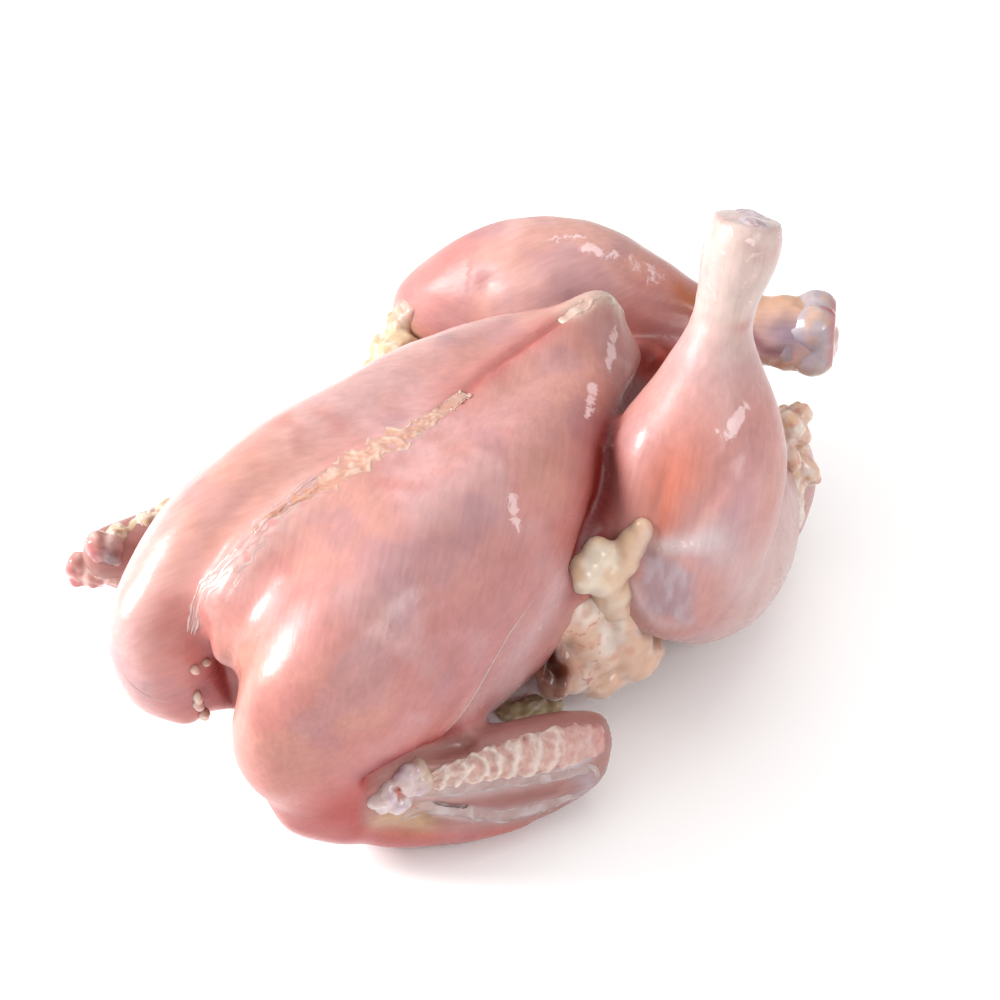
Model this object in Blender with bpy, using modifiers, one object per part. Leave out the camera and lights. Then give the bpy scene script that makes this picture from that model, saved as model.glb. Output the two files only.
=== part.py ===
"""Whole raw chicken, skinned, drawn and trimmed, lying on its back with one leg up and one folded across.

The row frame: the chicken lies on its back on the plane z = 0, its neck end towards -Y, its tail
towards +Y, its right side towards +X.
"""

import math

import bmesh
import bpy
from mathutils import Matrix, Vector

MM = 0.001

# ---- driving dimensions, in millimetres ----
RING_SIDES = 20  # points round each muscle's sections
VOXEL = 1.6  # cell of the remesh that joins the muscles
SOLID_TRIANGLES = 9000  # what the finished solid is thinned to

UP = Vector((0, 0, 1))
ACROSS = Vector((1, 0, 0))
TOWARDS_NECK = Vector((0.67, -0.74, 0))

# Each muscle is a row of stations: (x, y, z, half-width along its across direction, half-thickness).
RIGHT_BREAST = (
    (25.5, -95, 45, 14.5, 24),
    (25.5, -86, 48.5, 23.5, 33),
    (24.5, -67, 56, 28.5, 38),
    (23.5, -38, 57, 30.5, 42.5),
    (22, -5, 56.5, 30, 42),
    (18.5, 25, 62, 26.5, 35.5),
    (13, 45, 68, 18, 28),
    (6, 57, 79, 9, 16),
)
RIGHT_SHOULDER = (
    (26, -92, 26, 10, 15),
    (31, -83, 26, 17, 24),
    (34, -67, 26, 13, 20),
)
LEFT_BREAST = (
    (-22.5, -95, 50, 16, 25.5),
    (-23.5, -83, 52, 22.5, 34.5),
    (-23.5, -64, 53, 26.5, 41),
    (-21.5, -38, 54, 26, 43.5),
    (-19.5, -5, 56.5, 24.5, 42.5),
    (-17, 25, 61, 22, 38),
    (-12, 45, 70, 17, 28),
    (-6, 57, 79, 9, 16),
)
KEEL = (
    (0, -82, 65, 11, 18),
    (0, -64, 71.5, 20, 21.5),
    (0, -38, 74, 25, 22.5),
    (0, 0, 74.5, 26, 22),
    (0, 35, 76.5, 21, 20.5),
    (0, 60, 89, 7, 12),
)
RIB_CAGE = (
    (0, -74, 41, 22, 18),
    (0, -54, 40, 37, 37),
    (0, -15, 40, 42, 43),
    (0, 30, 38, 42, 41),
    (0, 66, 33, 40, 36),
    (0, 94, 31, 29, 30),
)
TAIL = (
    (0, 98, 25, 18, 16),
    (0, 112, 26, 12, 10),
    (0, 123, 28, 8, 6),
)
RIGHT_THIGH = (
    (26, 92, 28, 20, 17),
    (40, 77, 28, 26, 22),
    (48, 56, 29.5, 27, 24),
    (55, 38, 38, 25.5, 24),
    (60, 27, 46, 20, 20),
)
LEFT_THIGH = (
    (-26, 90, 26, 22, 17),
    (-40, 80, 34, 27, 22),
    (-53, 71, 44, 24, 20),
    (-62, 64, 54, 18, 16),
)
# A drumstick on its way from knee to hock: (share of its length, half-width, half-thickness, calf's bulge).
RIGHT_DRUMSTICK = (
    (0.00, 18, 21, -1),
    (0.10, 22, 25, -1.5),
    (0.24, 24, 27.2, -1.2),
    (0.38, 23, 26.5, -0.8),
    (0.50, 19, 21.5, -0.5),
    (0.60, 14, 14.8, -1.4),
    (0.69, 9.6, 9.2, -2),
    (0.77, 8.4, 7.6, -2),
    (0.88, 10.4, 9.4, -1),
    (0.97, 11.2, 10.4, 0),
)
LEFT_DRUMSTICK = (
    (0.00, 17, 17, 0),
    (0.10, 21, 21, 7),
    (0.24, 23, 22.5, 13),
    (0.38, 21.5, 21, 14),
    (0.50, 18, 18, 9),
    (0.60, 14.5, 14, 4.5),
    (0.69, 11, 10.5, 1),
    (0.77, 10, 9.5, 0),
    (0.88, 12.5, 11.5, 0),
    (0.97, 14, 12.5, -1),
)
RIGHT_KNEE = (60, 22, 45)
RIGHT_HOCK = (49, 58, 141)
LEFT_KNEE = (-66, 61, 57)
LEFT_HOCK = (31, 126, 61)

RIGHT_FOREARM = (
    (66, -21, 20, 9.5, 7.5),
    (64.5, -29, 23.5, 11, 8.5),
    (60.5, -41, 26, 11.5, 8.5),
    (54, -53, 28, 10.5, 8),
    (47.5, -66, 29, 8, 7),
    (43, -75, 29, 6.5, 6),
)
RIGHT_UPPER_ARM = (
    (38, -72, 13, 12, 12),
    (49, -60, 10, 10, 9),
    (58, -46, 9.5, 9.5, 9),
    (64, -32, 11, 9, 8.5),
    (66, -24, 13, 8, 8),
)
LEFT_FOREARM = (
    (-58, -22, 32, 11, 9),
    (-66, -40, 33, 13, 10),
    (-73, -56, 33, 10, 9),
    (-79, -68, 33, 9, 8),
)
LEFT_UPPER_ARM = (
    (-36, -66, 22, 12, 12),
    (-48, -46, 22, 12, 11),
    (-56, -26, 26, 10, 9),
)
# The neck has been cut away, which leaves a pocket between the breasts; the vent is open at the tail.
NECK_POCKET = (
    (-3, -118, 36, 11, 24),
    (-3, -100, 40, 9, 21),
    (-2, -82, 44, 5, 14),
)
VENT = (
    (-4, 128, 62, 14, 12),
    (-3, 108, 50, 13, 11),
    (-2, 92, 42, 11, 9),
)
FLOOR_SIZE = 400  # the block that planes the back flat

# Pads of fat: in the fold before the right knee, and beside the tail.
FOLD_FAT = (
    (43, 9, 54, 8, 6),
    (44, 11, 43, 9, 6),
    (43, 11, 28, 12, 6),
    (39, 7, 13, 11, 6),
)
RUMP_FAT = (
    (36, 101, 43, 6, 6),
    (42, 101, 34, 9, 8),
    (47, 97, 24, 9, 8),
    (47, 90, 14, 8, 7),
)


def drumstick(profile, knee, hock, calf_side):
    start, end = Vector(knee), Vector(hock)
    stations = []
    for share, wide, thick, calf in profile:
        centre = start.lerp(end, share) + calf_side * calf
        stations.append((*centre, wide, thick))
    return stations


def rounded_ends(points, radii):
    """Adds two shrinking sections beyond each end, so that a muscle closes in a dome."""
    domes = ((0.5, 0.87), (0.85, 0.52))
    first = (points[0] - points[1]).normalized() * min(radii[0])
    last = (points[-1] - points[-2]).normalized() * min(radii[-1])
    head = [(points[0] + first * far, [r * share for r in radii[0]]) for far, share in reversed(domes)]
    tail = [(points[-1] + last * far, [r * share for r in radii[-1]]) for far, share in domes]
    poles = points[0] + first, points[-1] + last
    return poles, head + list(zip(points, radii)) + tail


def muscle(name, stations, across):
    """A loft of elliptical sections along the stations, closed by a dome at each end."""
    points = [Vector(s[:3]) * MM for s in stations]
    radii = [(s[3] * MM, s[4] * MM) for s in stations]
    poles, sections = rounded_ends(points, radii)
    centres = [c for c, _ in sections]
    mesh = bmesh.new()
    rings = []
    for i, (centre, (wide, thick)) in enumerate(sections):
        along = (centres[min(i + 1, len(centres) - 1)] - centres[max(i - 1, 0)]).normalized()
        side = (across - along * across.dot(along)).normalized()
        front = along.cross(side)
        ring = []
        for k in range(RING_SIDES):
            turn = math.tau * k / RING_SIDES
            outward = side * wide * math.cos(turn) + front * thick * math.sin(turn)
            ring.append(mesh.verts.new(centre + outward))
        rings.append(ring)
    for near, far in zip(rings, rings[1:]):
        for k in range(RING_SIDES):
            n = (k + 1) % RING_SIDES
            mesh.faces.new((near[k], near[n], far[n], far[k]))
    for ring, pole, step in ((rings[0], poles[0], -1), (rings[-1], poles[1], 1)):
        tip = mesh.verts.new(pole)
        for k in range(RING_SIDES):
            a, b = ring[k], ring[(k + step) % RING_SIDES]
            mesh.faces.new((a, b, tip))
    bmesh.ops.recalc_face_normals(mesh, faces=mesh.faces)
    data = bpy.data.meshes.new(name)
    mesh.to_mesh(data)
    mesh.free()
    obj = bpy.data.objects.new(name, data)
    bpy.context.scene.collection.objects.link(obj)
    rounding = obj.modifiers.new("rounding", "SUBSURF")
    rounding.levels = rounding.render_levels = 1
    return obj


def apply_modifiers(obj):
    graph = bpy.context.evaluated_depsgraph_get()
    data = bpy.data.meshes.new_from_object(obj.evaluated_get(graph))
    obj.modifiers.clear()
    obj.data = data


def fused(name, pieces, smoothing, hollows=()):
    """Joins the pieces into one closed skin, cuts the hollows and then softens every seam."""
    for piece in pieces:
        apply_modifiers(piece)
    bpy.ops.object.select_all(action="DESELECT")
    for piece in pieces:
        piece.select_set(True)
    bpy.context.view_layer.objects.active = pieces[0]
    bpy.ops.object.join()
    body = pieces[0]
    body.name = name
    remesh = body.modifiers.new("skin", "REMESH")
    remesh.mode = "VOXEL"
    remesh.voxel_size = VOXEL * MM
    for hollow in hollows:
        cut(body, hollow)
    soften = body.modifiers.new("soften", "SMOOTH")
    soften.factor = 0.5
    soften.iterations = smoothing
    return body


def cut(body, cutter):
    boolean = body.modifiers.new(cutter.name, "BOOLEAN")
    boolean.operation = "DIFFERENCE"
    boolean.solver = "EXACT"
    boolean.object = cutter


def floor_block():
    """A block whose top is the plane that the chicken lies on."""
    bpy.ops.mesh.primitive_cube_add(size=FLOOR_SIZE * MM, location=(0, 0, -FLOOR_SIZE * MM / 2))
    block = bpy.context.object
    block.name = "floor_block"
    return block


def thinned(body):
    """Thins the skin to the triangles wanted, and puts its base exactly on the plane."""
    apply_modifiers(body)
    thin = body.modifiers.new("thin", "DECIMATE")
    thin.ratio = SOLID_TRIANGLES / sum(len(p.vertices) - 2 for p in body.data.polygons)
    apply_modifiers(body)
    for vertex in body.data.vertices:
        if vertex.co.z < 0.25 * MM:
            vertex.co.z = 0
    body.data.polygons.foreach_set("use_smooth", [True] * len(body.data.polygons))
    body.data.set_sharp_from_angle(angle=math.radians(50))


def raw_flesh():
    material = bpy.data.materials.new("raw_chicken_flesh")
    material.use_nodes = True
    shader = material.node_tree.nodes["Principled BSDF"]
    shader.inputs["Base Color"].default_value = (0.72, 0.40, 0.35, 1)
    shader.inputs["Roughness"].default_value = 0.32
    shader.inputs["Metallic"].default_value = 0
    return material


def clear_scene():
    for obj in list(bpy.data.objects):
        bpy.data.objects.remove(obj)


def collection(name):
    made = bpy.data.collections.new(name)
    bpy.context.scene.collection.children.link(made)
    return made


def move_to(obj, target):
    for owner in list(obj.users_collection):
        owner.objects.unlink(obj)
    target.objects.link(obj)


def build():
    clear_scene()
    cutters = [muscle("neck_pocket", NECK_POCKET, ACROSS), muscle("vent", VENT, ACROSS), floor_block()]
    torso = fused("torso", [
        muscle("right_breast", RIGHT_BREAST, ACROSS),
        muscle("right_shoulder", RIGHT_SHOULDER, ACROSS),
        muscle("left_breast", LEFT_BREAST, ACROSS),
        muscle("keel", KEEL, ACROSS),
        muscle("rib_cage", RIB_CAGE, ACROSS),
        muscle("tail", TAIL, ACROSS),
    ], 12, cutters[:2])
    right_leg = fused("right_leg", [
        muscle("right_thigh", RIGHT_THIGH, UP),
        muscle("right_drumstick", drumstick(RIGHT_DRUMSTICK, RIGHT_KNEE, RIGHT_HOCK, ACROSS), TOWARDS_NECK),
    ], 14)
    left_leg = fused("left_leg", [
        muscle("left_thigh", LEFT_THIGH, UP),
        muscle("left_drumstick", drumstick(LEFT_DRUMSTICK, LEFT_KNEE, LEFT_HOCK, UP), UP),
    ], 14)
    right_wing = fused("right_wing", [
        muscle("right_forearm", RIGHT_FOREARM, UP),
        muscle("right_upper_arm", RIGHT_UPPER_ARM, UP),
    ], 4)
    left_wing = fused("left_wing", [
        muscle("left_forearm", LEFT_FOREARM, UP),
        muscle("left_upper_arm", LEFT_UPPER_ARM, UP),
    ], 4)
    fat = fused("fat", [
        muscle("fold_fat", FOLD_FAT, Vector((0.6, 1, 0))),
        muscle("rump_fat", RUMP_FAT, Vector((0.6, 1, 0))),
    ], 2)
    chicken = fused("whole_raw_chicken", [torso, right_leg, left_leg, right_wing, left_wing, fat], 3)
    cut(chicken, cutters[2])
    thinned(chicken)
    chicken.data.materials.clear()
    chicken.data.materials.append(raw_flesh())
    move_to(chicken, collection("whole_raw_chicken"))
    cutting = collection("cutters")
    for cutter in cutters:
        move_to(cutter, cutting)
        cutter.hide_render = True
        cutter.display_type = "WIRE"


build()
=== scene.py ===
"""Looks for a whole raw chicken: skinned and drawn, on its back, right leg up and left leg across.

The row frame: neck end towards -Y, tail towards +Y, the bird's right side towards +X, the table at
z = 0. Places and sizes on the bird are in millimetres, and lamps and camera are in metres.
"""
import math

import bpy
import numpy as np
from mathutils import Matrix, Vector, noise
from mathutils.bvhtree import BVHTree


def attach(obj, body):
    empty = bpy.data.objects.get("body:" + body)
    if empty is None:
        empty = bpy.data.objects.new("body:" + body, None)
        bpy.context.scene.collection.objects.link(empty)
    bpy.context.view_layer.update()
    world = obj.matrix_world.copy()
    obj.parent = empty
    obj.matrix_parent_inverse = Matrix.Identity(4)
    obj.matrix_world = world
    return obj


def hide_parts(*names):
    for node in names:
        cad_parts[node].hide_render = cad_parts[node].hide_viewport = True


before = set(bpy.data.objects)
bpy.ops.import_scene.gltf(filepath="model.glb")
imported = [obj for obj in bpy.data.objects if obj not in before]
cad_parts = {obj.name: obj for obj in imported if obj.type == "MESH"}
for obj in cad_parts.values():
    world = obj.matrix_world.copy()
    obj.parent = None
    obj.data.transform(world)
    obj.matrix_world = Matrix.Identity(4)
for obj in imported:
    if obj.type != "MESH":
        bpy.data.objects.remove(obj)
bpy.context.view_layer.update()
NODE = "whole_raw_chicken"
MM = 0.001
UP = np.array((0.0, 0.0, 1.0))
DEPTH = 0.63  # the lamps are bright, so a pigment is this much deeper than the colour it gives
FLESH_VOXEL = 1.24
EVEN_PASSES = 260
FIBRE_WIDTH, FIBRE_LENGTH = 1.4, 15
SINK = 0.35  # how deep a strip's edges lie in the flesh


# ---------------------------------------------------------------- small tools

def linear(text):
    """The linear colour of an sRGB hex value."""
    parts = [int(text[i:i + 2], 16) / 255 for i in (1, 3, 5)]
    return np.array([p / 12.92 if p <= 0.04045 else ((p + 0.055) / 1.055) ** 2.4 for p in parts])


def alone(obj):
    if bpy.context.object and bpy.context.object.mode != "OBJECT":
        bpy.ops.object.mode_set(mode="OBJECT")
    bpy.ops.object.select_all(action="DESELECT")
    obj.select_set(True)
    bpy.context.view_layer.objects.active = obj


def shaped(obj, kind, **settings):
    """Adds a modifier and applies it."""
    alone(obj)
    modifier = obj.modifiers.new(kind.lower(), kind)
    for name, value in settings.items():
        setattr(modifier, name, value)
    bpy.ops.object.modifier_apply(modifier=modifier.name)


def joined(pieces, name):
    alone(pieces[0])
    for piece in pieces:
        piece.select_set(True)
    bpy.ops.object.join()
    pieces[0].name = pieces[0].data.name = name
    return pieces[0]


def points_of(obj):
    flat = np.empty(len(obj.data.vertices) * 3)
    obj.data.vertices.foreach_get("co", flat)
    return flat.reshape(-1, 3) / MM


def normals_of(obj):
    flat = np.empty(len(obj.data.vertices) * 3, np.float32)
    obj.data.vertex_normals.foreach_get("vector", flat)
    return flat.reshape(-1, 3).astype(float)


def move_points(obj, points):
    obj.data.vertices.foreach_set("co", (points * MM).ravel())
    obj.data.update()


def store(obj, name, values):
    """Keeps one number, or one colour, for each point of the mesh."""
    if values.ndim == 1:
        layer = obj.data.attributes.new(name, "FLOAT", "POINT")
        layer.data.foreach_set("value", values.astype(np.float32))
    elif name == "tint":
        layer = obj.data.attributes.new(name, "FLOAT_COLOR", "POINT")
        rgba = np.concatenate([values, np.ones((len(values), 1))], axis=1)
        layer.data.foreach_set("color", rgba.astype(np.float32).ravel())
    else:
        layer = obj.data.attributes.new(name, "FLOAT_VECTOR", "POINT")
        layer.data.foreach_set("vector", values.astype(np.float32).ravel())


def unit(vector):
    vector = np.array(vector, float)
    return vector / np.linalg.norm(vector)


def from_path(points, path):
    """Each point's distance from a path, and how far along the path its foot is, from 0 to 1."""
    path = np.array(path, float)
    steps = np.linalg.norm(np.diff(path, axis=0), axis=1)
    gone = np.concatenate([[0], np.cumsum(steps)])
    best = np.full(len(points), 1e9)
    share = np.zeros(len(points))
    for i, step in enumerate(steps):
        way = path[i + 1] - path[i]
        t = np.clip((points - path[i]) @ way / step ** 2, 0, 1)
        far = np.linalg.norm(points - path[i] - t[:, None] * way, axis=1)
        closer = far < best
        best[closer] = far[closer]
        share[closer] = ((gone[i] + t * step) / gone[-1])[closer]
    return best, share


def near(points, path, width):
    """1 on the path, falling softly away over the width."""
    return np.exp(-(from_path(points, path)[0] / width) ** 2)


def blob(points, centre, *radii):
    radii = np.array(radii if len(radii) == 3 else radii * 3)
    return np.exp(-(((points - np.array(centre)) / radii) ** 2).sum(axis=1))


def step(values, low, high):
    t = np.clip((values - low) / (high - low), 0, 1)
    return t * t * (3 - 2 * t)


def lumpy(points, size, seed=0, octaves=1):
    """Soft noise about as coarse as size, roughly between -1 and 1."""
    shift = Vector((seed * 17.3, seed * 5.1, seed * 9.7))
    places = (Vector(p) + shift for p in points / size)
    if octaves == 1:
        return np.array([noise.noise(p) for p in places])
    return np.array([noise.fractal(p, 0.9, 2.0, octaves) for p in places])


class Tint:
    """The colour of each point of a piece, built up in washes."""

    def __init__(self, obj, base):
        self.obj = obj
        self.points = points_of(obj)
        self.colour = np.tile(linear(base), (len(self.points), 1))

    def wash(self, colour, amount):
        amount = np.clip(amount, 0, 1)[:, None]
        self.colour += (linear(colour) - self.colour) * amount

    def along(self, colour, amount, path, width):
        self.wash(colour, amount * near(self.points, path, width))

    def spot(self, colour, amount, centre, *radii):
        self.wash(colour, amount * blob(self.points, centre, *radii))

    def mottle(self, colour, amount, size, seed, low, high):
        """Washes soft patches about as coarse as size, where the noise runs from low to high."""
        self.wash(colour, amount * step(lumpy(self.points, size, seed, 2), low, high))

    def finish(self, material, vivid=1.0):
        """Keeps the colour, and gives the piece its material and its place in the record."""
        grey = (self.colour @ (0.3, 0.6, 0.1))[:, None]
        store(self.obj, "tint", np.clip(grey + (self.colour - grey) * vivid, 0, 1) * DEPTH)
        finished(self.obj, material)


# ---------------------------------------------------------------- materials

def new_material(name):
    material = bpy.data.materials.new(name)
    material.use_nodes = True
    return material, material.node_tree, material.node_tree.nodes["Principled BSDF"]


def node(tree, kind, links=None, **settings):
    """Adds a node, sets its fields, and sets or links its inputs."""
    made = tree.nodes.new(kind)
    for name, value in settings.items():
        setattr(made, name, value)
    for name, value in (links or {}).items():
        if isinstance(value, bpy.types.NodeSocket):
            tree.links.new(value, made.inputs[name])
        else:
            made.inputs[name].default_value = value
    return made


def rgba(text):
    return (*linear(text), 1)


def attribute(tree, name, output="Fac"):
    return node(tree, "ShaderNodeAttribute", attribute_name=name).outputs[output]


def grained(tree, place, scale, detail=3.0, **more):
    links = {"Vector": place, "Scale": scale, "Detail": detail, **more}
    return node(tree, "ShaderNodeTexNoise", links).outputs["Fac"]


def ranged(tree, value, low, high, to_low=0.0, to_high=1.0):
    links = {"Value": value, "From Min": low, "From Max": high, "To Min": to_low, "To Max": to_high}
    return node(tree, "ShaderNodeMapRange", links).outputs["Result"]


def maths(tree, kind, *values):
    return node(tree, "ShaderNodeMath", dict(enumerate(values)), operation=kind).outputs[0]


def scaled(tree, colour, shade):
    links = {0: colour, "Scale": shade}
    return node(tree, "ShaderNodeVectorMath", links, operation="SCALE").outputs[0]


def set_wet(shader, roughness, coat, sheen_rough, subsurface, radius):
    """Moist tissue: light goes in and comes out redder, and a film of juice gives the highlights."""
    shader.inputs["Roughness"].default_value = roughness
    shader.inputs["IOR"].default_value = 1.38
    shader.inputs["Coat Weight"].default_value = coat
    shader.inputs["Coat Roughness"].default_value = sheen_rough
    shader.inputs["Coat IOR"].default_value = 1.33
    shader.inputs["Subsurface Weight"].default_value = subsurface
    shader.inputs["Subsurface Radius"].default_value = radius
    shader.inputs["Subsurface Scale"].default_value = 0.003


def set_relief(tree, shader, high, distance, strength):
    links = {"Height": high, "Distance": distance, "Strength": strength}
    bump = node(tree, "ShaderNodeBump", links).outputs["Normal"]
    tree.links.new(bump, shader.inputs["Normal"])
    tree.links.new(bump, shader.inputs["Coat Normal"])


def skinned_muscle():
    """Raw poultry muscle: pink, wet, with fine fibres, faint mottling, torn flakes of fascia and
    painted highlights in the same milky colour.
    """
    material, tree, shader = new_material("raw_poultry_muscle_skinned")
    set_wet(shader, 0.42, 0.7, 0.2, 0.16, (1.0, 0.4, 0.3))
    tint = attribute(tree, "tint", "Color")
    fibre = attribute(tree, "fibre", "Vector")
    fascia_and_highlight = attribute(tree, "fascia_and_highlight")
    wet = attribute(tree, "wet")
    place = node(tree, "ShaderNodeTexCoord").outputs["Object"]
    # mottling: patches about 20 mm and 5 mm across, a little lighter or darker
    patches = grained(tree, place, 50.0)
    spots = grained(tree, place, 190.0)
    # fibres, in the stretched places that the fibre attribute holds
    threads = grained(tree, fibre, 1.0, Roughness=0.6)
    darker = ranged(tree, patches, 0.3, 0.7, 0.93, 1.05)
    finer = ranged(tree, spots, 0.3, 0.7, 0.94, 1.05)
    streak = ranged(tree, threads, 0.25, 0.75, 0.9, 1.09)
    shade = maths(tree, "MULTIPLY", maths(tree, "MULTIPLY", darker, finer), streak)
    flesh = scaled(tree, tint, shade)
    # torn fascia and painted highlights: milky flakes with ragged edges, some where the skin was
    # pulled off, some painted where highlights fall
    ragged = grained(tree, place, 230.0, 5.0, Roughness=0.62, Distortion=0.8)
    torn = ranged(tree, maths(tree, "ADD", ragged, fascia_and_highlight), 0.98, 1.08)
    milky_and_highlight = maths(tree, "MULTIPLY", torn, 0.75)
    links = {"Factor": milky_and_highlight, 6: flesh, 7: rgba("#dcbdbd")}
    colour = node(tree, "ShaderNodeMix", links, data_type="RGBA").outputs[2]
    tree.links.new(colour, shader.inputs["Base Color"])
    # the film of juice lies thicker in some places, and there it mirrors more sharply
    film = ranged(tree, patches, 0.35, 0.65, 0.1, 0.3)
    dull = maths(tree, "SUBTRACT", 1.0, wet)
    film = maths(tree, "MULTIPLY_ADD", dull, 0.3, film)
    tree.links.new(film, shader.inputs["Coat Roughness"])
    tree.links.new(ranged(tree, wet, 0.0, 1.0, 0.12, 0.75), shader.inputs["Coat Weight"])
    # relief: fibres, the flakes' edges, and a soft unevenness
    high = maths(tree, "MULTIPLY", threads, 0.45)
    high = maths(tree, "MULTIPLY_ADD", torn, 0.5, high)
    high = maths(tree, "MULTIPLY_ADD", spots, 1.0, high)
    set_relief(tree, shader, high, 0.3 * MM, 0.5)
    return material


def soft_tissue(name, grain, relief, roughness, coat, spread):
    """Fat, cartilage or skin: the piece's washes, broken up by a grain of that many millimetres."""
    material, tree, shader = new_material(name)
    set_wet(shader, roughness, coat, 0.14, 0.3, spread)
    tint = attribute(tree, "tint", "Color")
    place = node(tree, "ShaderNodeTexCoord").outputs["Object"]
    coarse = grained(tree, place, 1000 / grain, 4.0, Roughness=0.6)
    cells = node(tree, "ShaderNodeTexVoronoi", {"Vector": place, "Scale": 1400 / grain},
                 feature="SMOOTH_F1").outputs["Distance"]
    colour = scaled(tree, tint, ranged(tree, coarse, 0.3, 0.7, 0.9, 1.07))
    tree.links.new(colour, shader.inputs["Base Color"])
    set_relief(tree, shader, maths(tree, "MULTIPLY_ADD", cells, 0.35, coarse), relief * MM, 0.6)
    return material


def finished(obj, material):
    obj.data.materials.clear()
    obj.data.materials.append(material)
    obj.data.polygons.foreach_set("use_smooth", [True] * len(obj.data.polygons))
    obj.data.update()
    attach(obj, "root")
    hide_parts(NODE)


# ---------------------------------------------------------------- the flesh

RIGHT_KNEE, RIGHT_HOCK = (60, 21, 42), (49, 58, 141)
LEFT_KNEE, LEFT_HOCK = (-66, 61, 57), (31, 126, 61)
RIGHT_SHIN, LEFT_SHIN = (-0.103, 0.348, 0.931), (0.829, 0.558, 0.034)
RIGHT_WING = ((66, -21, 20), (60, -41, 26), (43, -75, 29))
LEFT_WING = ((-58, -22, 32), (-66, -40, 33), (-79, -68, 33))
FOLD = ((3, 80, 64), (12, 66, 73), (19, 56, 78), (26, 42, 82), (31, 33, 85), (36, 22, 87),
        (39, 15, 85), (42, 11, 82), (44, 7, 78), (46, 3, 75), (48, -2, 72), (49, -9, 66))
TROUGH = ((-5, -54, 94), (-2, -72, 90), (-3, -85, 81))
FLANK = ((49, -66, 42), (51, -58, 47), (53, -49, 56), (52, -41, 63), (52, -33, 67), (51, -26, 70))


def flesh_from_frame():
    """The CAD solid, merged, rounded and given an even skin fine enough to be worked on."""
    flesh = bpy.data.objects.new("flesh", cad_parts[NODE].data.copy())
    bpy.context.scene.collection.objects.link(flesh)
    flesh.data.materials.clear()
    alone(flesh)
    bpy.ops.object.mode_set(mode="EDIT")
    bpy.ops.mesh.select_all(action="SELECT")
    bpy.ops.mesh.remove_doubles(threshold=0.00001)
    bpy.ops.mesh.normals_make_consistent(inside=False)
    bpy.ops.object.mode_set(mode="OBJECT")
    shaped(flesh, "SMOOTH", factor=0.5, iterations=3)
    shaped(flesh, "SUBSURF", levels=1, render_levels=1)
    shaped(flesh, "REMESH", mode="VOXEL", voxel_size=FLESH_VOXEL * MM)
    shaped(flesh, "SMOOTH", factor=0.5, iterations=6)
    # the right breast rises smoothly out of the trough beside the keel
    even = flesh.vertex_groups.new(name="even")
    for index, share in enumerate(blob(points_of(flesh), (15, -74, 87), 17, 26, 16)):
        if share > 0.05:
            even.add([index], share, "REPLACE")
    shaped(flesh, "SMOOTH", factor=0.5, iterations=EVEN_PASSES, vertex_group="even")
    return flesh


def squared_end(points, joint, away, beyond, soft, reach=20):
    """Presses a limb's rounded end square, a share soft of what stands beyond the joint."""
    away = unit(away)
    offset = points - np.array(joint)
    along = offset @ away
    close = np.linalg.norm(offset - along[:, None] * away, axis=1) < reach
    over = close & (along > beyond) & (along < beyond + 25)
    points[over] -= ((along[over] - beyond) * soft)[:, None] * away


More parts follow.
